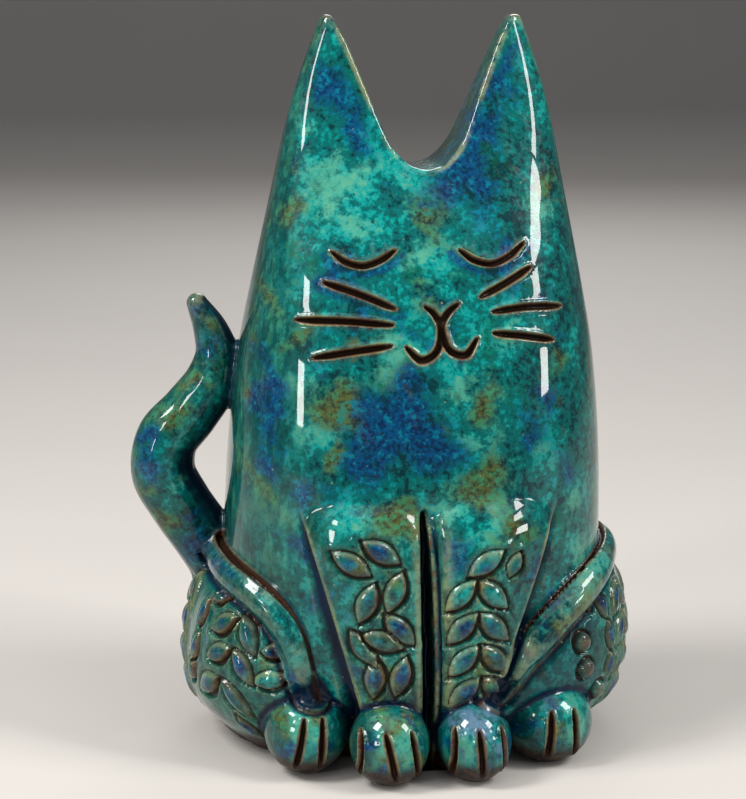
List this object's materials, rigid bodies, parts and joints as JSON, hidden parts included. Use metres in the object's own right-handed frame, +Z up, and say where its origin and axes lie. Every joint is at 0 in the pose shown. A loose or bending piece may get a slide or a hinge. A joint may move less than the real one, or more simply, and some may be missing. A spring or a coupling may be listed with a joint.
{
  "type": "ceramic cat figurine",
  "caption": "Hand-built glazed clay cat that sits upright: bell-shaped body, tall pointed ears, closed-eye face cut into the clay, leaf-pressed legs and thighs, round paws, curved tail.",
  "frame": {"origin": "on the flat underside, on the upright axis of the body; the underside is the plane z = 0", "axes": "+Z up towards the ears, -Y the way the cat faces, +X to the viewer's right when looking at the face"},
  "size_m": [0.1455, 0.0965, 0.21],
  "materials": {
    "glaze": "glossy mottled turquoise, cobalt and olive reactive glaze, breaking dark brown in the furrows"
  },
  "bodies": {
    "root": {"clay_cat": "glaze"}
  },
  "joints": []
}
